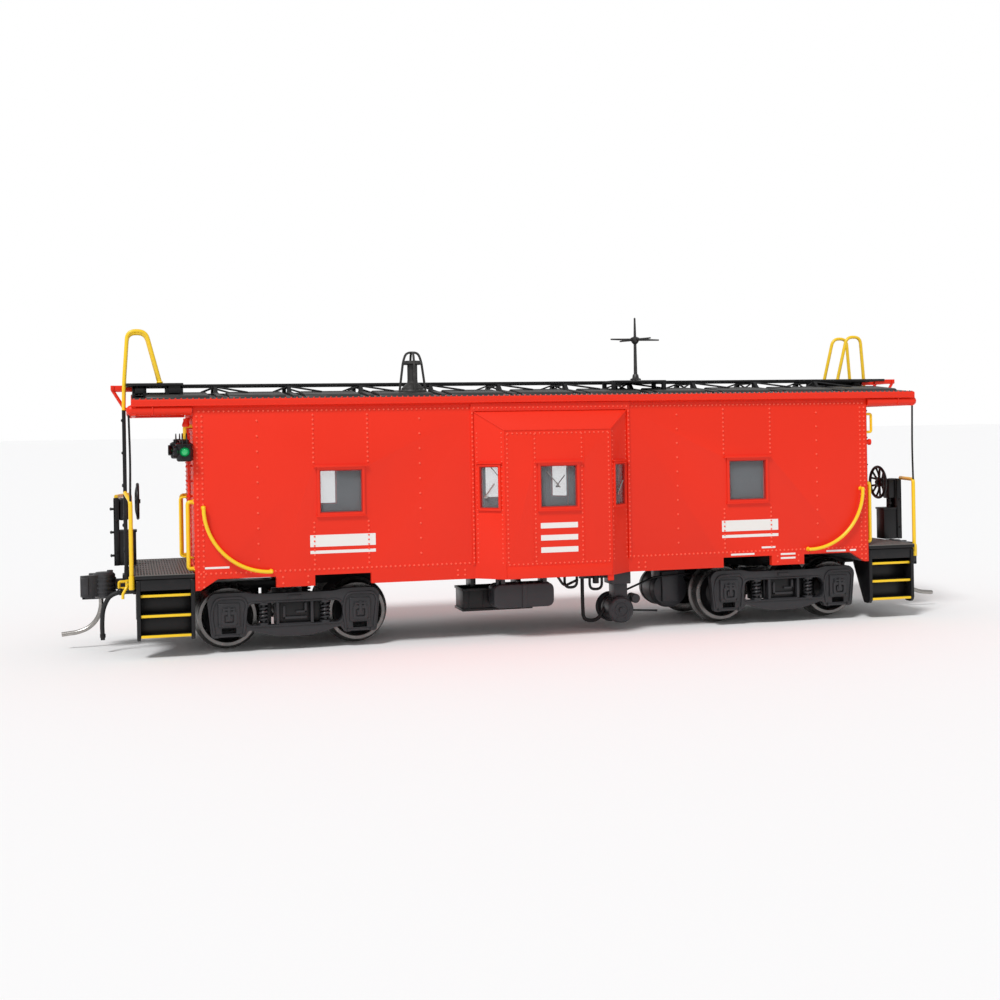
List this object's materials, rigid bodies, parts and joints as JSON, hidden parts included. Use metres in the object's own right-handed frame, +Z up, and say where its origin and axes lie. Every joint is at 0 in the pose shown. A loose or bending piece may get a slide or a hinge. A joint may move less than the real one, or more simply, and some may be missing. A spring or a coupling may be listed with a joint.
{
  "type": "model railway caboose",
  "caption": "Model of a bay-window railway caboose on swivelling trucks, with end platforms, steps, ladders, roof walkway and knuckle couplers.",
  "frame": {"origin": "under the middle of the car, on the plane the wheel flanges touch", "axes": "+X along the car, +Y across it, +Z up"},
  "size_m": [0.1596, 0.0388, 0.0542],
  "materials": {
    "body_paint": "orange-red satin paint",
    "roof_black": "black satin plastic",
    "frame_black": "black matte plastic",
    "truck_plastic": "dark grey matte plastic",
    "safety_yellow": "yellow satin paint on wire",
    "clear_plastic": "clear moulded plastic",
    "wheel_metal": "turned, darkened metal",
    "coupler_metal": "blackened metal",
    "steel": "plain steel",
    "hose_rubber": "black rubber"
  },
  "bodies": {
    "carbody": {"body_shell": "body_paint", "window_strip_near": "clear_plastic", "window_strip_far": "clear_plastic", "floor_weight": "steel", "roof": "roof_black", "roof_walkway": "roof_black", "smokestack": "roof_black", "aerial_platform": "roof_black", "radio_aerial": "roof_black", "underframe": "frame_black", "battery_box": "frame_black", "fuel_tank": "frame_black", "axle_generator": "frame_black", "air_reservoir": "frame_black", "end_platform_left": "frame_black", "end_platform_right": "frame_black", "steps_left_near": "frame_black", "railing_left_near": "safety_yellow", "curved_grab_left_near": "safety_yellow", "corner_handrail_left_near": "safety_yellow", "steps_left_far": "frame_black", "railing_left_far": "safety_yellow", "curved_grab_left_far": "safety_yellow", "corner_handrail_left_far": "safety_yellow", "end_ladder_left": "frame_black", "brake_stand_left": "frame_black", "brake_wheel_left": "frame_black", "uncoupling_lever_left": "safety_yellow", "air_hose_left": "hose_rubber", "truck_screw_left": "steel", "steps_right_near": "frame_black", "railing_right_near": "safety_yellow", "curved_grab_right_near": "safety_yellow", "corner_handrail_right_near": "safety_yellow", "steps_right_far": "frame_black", "railing_right_far": "safety_yellow", "curved_grab_right_far": "safety_yellow", "corner_handrail_right_far": "safety_yellow", "end_ladder_right": "frame_black", "brake_stand_right": "frame_black", "brake_wheel_right": "frame_black", "uncoupling_lever_right": "safety_yellow", "air_hose_right": "hose_rubber", "truck_screw_right": "steel", "marker_lamp_near": "frame_black", "marker_lamp_far": "frame_black"},
    "left_truck": {"truck_bolster_left": "truck_plastic", "side_frame_left_near": "truck_plastic", "side_frame_left_far": "truck_plastic"},
    "left_truck_left_wheels": {"wheelset_left_left": "wheel_metal"},
    "left_truck_right_wheels": {"wheelset_left_right": "wheel_metal"},
    "left_coupler": {"coupler_left": "coupler_metal"},
    "left_knuckle": {"coupler_knuckle_left": "coupler_metal"},
    "right_truck": {"truck_bolster_right": "truck_plastic", "side_frame_right_near": "truck_plastic", "side_frame_right_far": "truck_plastic"},
    "right_truck_left_wheels": {"wheelset_right_left": "wheel_metal"},
    "right_truck_right_wheels": {"wheelset_right_right": "wheel_metal"},
    "right_coupler": {"coupler_right": "coupler_metal"},
    "right_knuckle": {"coupler_knuckle_right": "coupler_metal"}
  },
  "joints": [
    {"name": "left_truck_swivel", "type": "hinge", "parent": "carbody", "child": "left_truck", "pos_m": [-0.043, 0, 0.009], "axis": [0, 0, 1], "range_deg": [-6, 6]},
    {"name": "wheelset_left_left_spin", "type": "hinge", "parent": "left_truck", "child": "left_truck_left_wheels", "pos_m": [-0.0535, 0, 0.00544], "axis": [0, 1, 0], "continuous": true},
    {"name": "wheelset_left_right_spin", "type": "hinge", "parent": "left_truck", "child": "left_truck_right_wheels", "pos_m": [-0.0325, 0, 0.00544], "axis": [0, 1, 0], "continuous": true},
    {"name": "left_coupler_swing", "type": "hinge", "parent": "carbody", "child": "left_coupler", "pos_m": [-0.0632, 0, 0.01055], "axis": [0, 0, 1], "range_deg": [-8, 8]},
    {"name": "left_knuckle_open", "type": "hinge", "parent": "left_coupler", "child": "left_knuckle", "pos_m": [-0.07465, 0.0015, 0.01055], "axis": [0, 0, 1], "range_deg": [-25, 0]},
    {"name": "right_truck_swivel", "type": "hinge", "parent": "carbody", "child": "right_truck", "pos_m": [0.043, 0, 0.009], "axis": [0, 0, 1], "range_deg": [-6, 6]},
    {"name": "wheelset_right_left_spin", "type": "hinge", "parent": "right_truck", "child": "right_truck_left_wheels", "pos_m": [0.0325, 0, 0.00544], "axis": [0, 1, 0], "continuous": true},
    {"name": "wheelset_right_right_spin", "type": "hinge", "parent": "right_truck", "child": "right_truck_right_wheels", "pos_m": [0.0535, 0, 0.00544], "axis": [0, 1, 0], "continuous": true},
    {"name": "right_coupler_swing", "type": "hinge", "parent": "carbody", "child": "right_coupler", "pos_m": [0.0632, 0, 0.01055], "axis": [0, 0, 1], "range_deg": [-8, 8]},
    {"name": "right_knuckle_open", "type": "hinge", "parent": "right_coupler", "child": "right_knuckle", "pos_m": [0.07465, -0.0015, 0.01055], "axis": [0, 0, 1], "range_deg": [-25, 0]}
  ]
}
